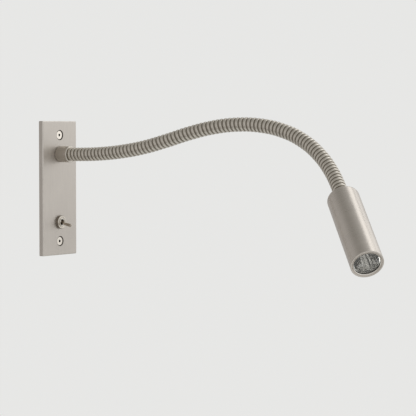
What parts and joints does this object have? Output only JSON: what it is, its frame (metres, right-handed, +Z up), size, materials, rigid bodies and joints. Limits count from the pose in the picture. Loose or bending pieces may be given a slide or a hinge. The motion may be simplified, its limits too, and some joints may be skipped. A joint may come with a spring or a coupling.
{
  "type": "wall reading lamp",
  "caption": "Wall-mounted reading lamp: upright metal back plate with a toggle switch, long ribbed flexible neck and a tubular spotlight head.",
  "frame": {"origin": "middle of the back plate's rear face, on the wall surface", "axes": "+Z up the wall, +Y into the wall, so the lamp stands out along -Y; +X to the right for a viewer who stands facing the wall"},
  "size_m": [0.1107, 0.4204, 0.133],
  "materials": {
    "satin_nickel": "satin nickel plate on steel, lightly brushed",
    "head_nickel": "satin nickel plate on aluminium",
    "neck_metal": "semi-bright nickel plate on wound steel",
    "bright_nickel": "bright nickel plate",
    "screw_steel": "polished stainless steel",
    "zinc_steel": "zinc-plated steel",
    "brass_metal": "plain brass",
    "block_plastic": "ivory plastic",
    "black_plastic": "black plastic",
    "insulator_plastic": "white insulating plastic",
    "lead_insulation": "black wire insulation",
    "circuit_board": "green solder mask",
    "led_board_mask": "white mask on an aluminium board",
    "component_body": "black component cases",
    "sink_metal": "plain turned aluminium",
    "pad_rubber": "grey thermal pad",
    "emitter_phosphor": "yellow phosphor",
    "clear_silicone": "clear dome",
    "reflector_metal": "vacuum-metallised plastic",
    "gasket_rubber": "black rubber",
    "lens_glass": "clear glass"
  },
  "bodies": {
    "mount": {"back_plate": "satin_nickel", "wall_screws": "screw_steel", "neck_collar": "satin_nickel", "neck_washer": "zinc_steel", "neck_nut": "brass_metal", "terminal_bracket": "zinc_steel", "terminal_block": "block_plastic", "clamp_screws": "brass_metal", "block_screw": "zinc_steel", "earth_screw": "brass_metal", "rear_leads": "lead_insulation", "neck_leads": "lead_insulation", "neck_section_00": "neck_metal", "switch_bushing": "bright_nickel", "switch_washer": "zinc_steel", "switch_ring_nut": "bright_nickel", "switch_case": "black_plastic", "switch_terminals": "brass_metal", "switch_pivot_pin": "zinc_steel"},
    "section_01": {"neck_section_01": "neck_metal"},
    "section_02": {"neck_section_02": "neck_metal"},
    "section_03": {"neck_section_03": "neck_metal"},
    "section_04": {"neck_section_04": "neck_metal"},
    "section_05": {"neck_section_05": "neck_metal"},
    "section_06": {"neck_section_06": "neck_metal"},
    "section_07": {"neck_section_07": "neck_metal"},
    "section_08": {"neck_section_08": "neck_metal"},
    "section_09": {"neck_section_09": "neck_metal"},
    "section_10": {"neck_section_10": "neck_metal"},
    "section_11": {"neck_section_11": "neck_metal"},
    "section_12": {"neck_section_12": "neck_metal"},
    "section_13": {"neck_section_13": "neck_metal"},
    "head": {"neck_section_14": "neck_metal", "neck_nipple": "zinc_steel", "head_barrel": "head_nickel", "head_washer": "zinc_steel", "head_nut": "brass_metal", "driver_sleeve": "insulator_plastic", "driver_board": "circuit_board", "driver_components": "component_body", "heat_sink": "sink_metal", "thermal_pad": "pad_rubber", "led_board": "led_board_mask", "board_screws": "zinc_steel", "led_emitter": "emitter_phosphor", "led_dome": "clear_silicone", "led_ring": "insulator_plastic", "reflector": "reflector_metal", "lens_gasket": "gasket_rubber", "front_lens": "lens_glass", "front_ring": "head_nickel", "head_leads": "lead_insulation"},
    "lever": {"switch_lever": "bright_nickel", "switch_plunger": "insulator_plastic"},
    "rocker": {"switch_rocker": "brass_metal"}
  },
  "joints": [
    {"name": "neck_rise_01", "type": "hinge", "parent": "mount", "child": "section_01", "pos_m": [0, -0.0316, 0.033], "axis": [-1, 0, 0], "range_deg": [-18, 18], "deforming": ["neck_leads"]},
    {"name": "neck_swing_02", "type": "hinge", "parent": "section_01", "child": "section_02", "pos_m": [0.00044, -0.05677, 0.03388], "axis": [-0.0012, 0.0697, 0.9976], "range_deg": [-18, 18], "deforming": ["neck_leads"]},
    {"name": "neck_rise_03", "type": "hinge", "parent": "section_02", "child": "section_03", "pos_m": [0.00165, -0.08183, 0.03629], "axis": [-0.9981, -0.0609, 0.0037], "range_deg": [-18, 18], "deforming": ["neck_leads"]},
    {"name": "neck_swing_04", "type": "hinge", "parent": "section_03", "child": "section_04", "pos_m": [0.00339, -0.10661, 0.04045], "axis": [-0.0098, 0.2076, 0.9782], "range_deg": [-18, 18], "deforming": ["neck_leads"]},
    {"name": "neck_rise_05", "type": "hinge", "parent": "section_04", "child": "section_05", "pos_m": [0.00556, -0.13093, 0.04664], "axis": [-0.9954, -0.0949, 0.0109], "range_deg": [-18, 18], "deforming": ["neck_leads"]},
    {"name": "neck_swing_06", "type": "hinge", "parent": "section_05", "child": "section_06", "pos_m": [0.00816, -0.15505, 0.05347], "axis": [-0.0138, 0.2584, 0.9659], "range_deg": [-18, 18], "deforming": ["neck_leads"]},
    {"name": "neck_rise_07", "type": "hinge", "parent": "section_06", "child": "section_07", "pos_m": [0.0111, -0.17949, 0.0588], "axis": [-0.9926, -0.1201, 0.0175], "range_deg": [-18, 18], "deforming": ["neck_leads"]},
    {"name": "neck_swing_08", "type": "hinge", "parent": "section_07", "child": "section_08", "pos_m": [0.01382, -0.2044, 0.06131], "axis": [0.0115, 0.0359, 0.9993], "range_deg": [-18, 18], "deforming": ["neck_leads"]},
    {"name": "neck_rise_09", "type": "hinge", "parent": "section_08", "child": "section_09", "pos_m": [0.0153, -0.22951, 0.06033], "axis": [-0.9995, -0.0246, 0.0176], "range_deg": [-18, 18], "deforming": ["neck_leads"]},
    {"name": "neck_swing_10", "type": "hinge", "parent": "section_09", "child": "section_10", "pos_m": [0.0144, -0.25418, 0.05548], "axis": [0.0143, -0.2742, 0.9616], "range_deg": [-18, 18], "deforming": ["neck_leads"]},
    {"name": "neck_rise_11", "type": "hinge", "parent": "section_10", "child": "section_11", "pos_m": [0.01038, -0.27742, 0.04674], "axis": [-0.9746, 0.2072, 0.0848], "range_deg": [-18, 18], "deforming": ["neck_leads"]},
    {"name": "neck_swing_12", "type": "hinge", "parent": "section_11", "child": "section_12", "pos_m": [0.0032, -0.29838, 0.0348], "axis": [-0.0519, -0.5433, 0.8379], "range_deg": [-18, 18], "deforming": ["neck_leads"]},
    {"name": "neck_rise_13", "type": "hinge", "parent": "section_12", "child": "section_13", "pos_m": [-0.00682, -0.31676, 0.02083], "axis": [-0.8887, 0.4051, 0.2146], "range_deg": [-18, 18], "deforming": ["neck_leads"]},
    {"name": "neck_swing_14", "type": "hinge", "parent": "section_13", "child": "head", "pos_m": [-0.01943, -0.33284, 0.00611], "axis": [-0.1119, -0.6411, 0.7592], "range_deg": [-18, 18], "deforming": ["neck_leads"]},
    {"name": "switch_lever_pivot", "type": "hinge", "parent": "mount", "child": "lever", "pos_m": [0, -0.0042, -0.033], "axis": [-1, 0, 0], "range_deg": [0, 25]},
    {"name": "switch_rocker_pivot", "type": "hinge", "parent": "mount", "child": "rocker", "pos_m": [0, 0.0031, -0.033], "axis": [-1, 0, 0], "range_deg": [-16, 0]}
  ],
  "couplings": [
    {"joint": "switch_rocker_pivot", "follows": "switch_lever_pivot", "ratio": -0.64}
  ]
}
